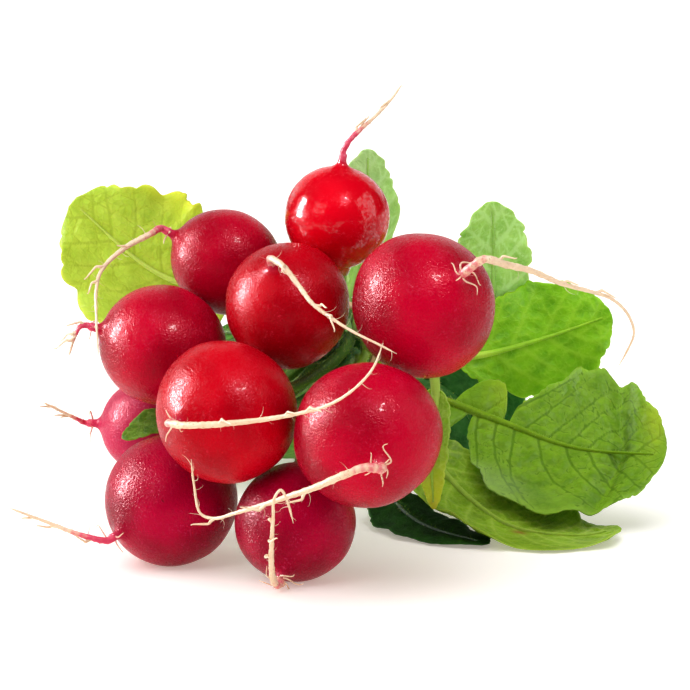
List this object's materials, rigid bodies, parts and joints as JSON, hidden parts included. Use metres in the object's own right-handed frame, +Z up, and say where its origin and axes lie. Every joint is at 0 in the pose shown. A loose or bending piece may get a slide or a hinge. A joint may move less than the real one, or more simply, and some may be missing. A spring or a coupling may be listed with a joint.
{
  "type": "bunch of radishes",
  "caption": "Bunch of round red radishes lying on a surface, with thin curly taproots and a band round the stalks of their toothed green leaves.",
  "frame": {"origin": "on the resting surface, under the middle of the bunch's bounding box", "axes": "+Z up from the resting surface; +Y runs along the leaf stalks, from the taproots past the band to the leaf tips; +X is to the right for someone who faces the taproots"},
  "size_m": [0.1572, 0.2072, 0.1107],
  "materials": {
    "radish_skin": "smooth, waxy crimson radish skin with a soft gloss",
    "taproot": "matt cream root skin, reddish where it leaves the bulb",
    "leaf": "soft green leaf with pale raised veins, matt to satin",
    "rubber_band": "plain tan natural rubber, matt"
  },
  "bodies": {
    "root": {"radish_01_bulb": "radish_skin", "radish_01_leaf_1": "leaf", "radish_01_leaf_2": "leaf", "radish_01_taproot": "taproot", "radish_02_bulb": "radish_skin", "radish_02_leaf_1": "leaf", "radish_02_leaf_2": "leaf", "radish_02_taproot": "taproot", "radish_03_bulb": "radish_skin", "radish_03_leaf_1": "leaf", "radish_03_leaf_2": "leaf", "radish_03_leaf_3": "leaf", "radish_03_taproot": "taproot", "radish_04_bulb": "radish_skin", "radish_04_leaf_1": "leaf", "radish_04_leaf_2": "leaf", "radish_04_taproot": "taproot", "radish_05_bulb": "radish_skin", "radish_05_leaf_1": "leaf", "radish_05_leaf_2": "leaf", "radish_05_taproot": "taproot", "radish_06_bulb": "radish_skin", "radish_06_leaf_1": "leaf", "radish_06_leaf_2": "leaf", "radish_06_taproot": "taproot", "radish_07_bulb": "radish_skin", "radish_07_leaf_1": "leaf", "radish_07_leaf_2": "leaf", "radish_07_leaf_3": "leaf", "radish_07_taproot": "taproot", "radish_08_bulb": "radish_skin", "radish_08_leaf_1": "leaf", "radish_08_leaf_2": "leaf", "radish_08_leaf_3": "leaf", "radish_08_taproot": "taproot", "radish_09_bulb": "radish_skin", "radish_09_leaf_1": "leaf", "radish_09_leaf_2": "leaf", "radish_09_taproot": "taproot", "radish_10_bulb": "radish_skin", "radish_10_leaf_1": "leaf", "radish_10_leaf_2": "leaf", "radish_10_taproot": "taproot", "rubber_band": "rubber_band"}
  },
  "joints": []
}
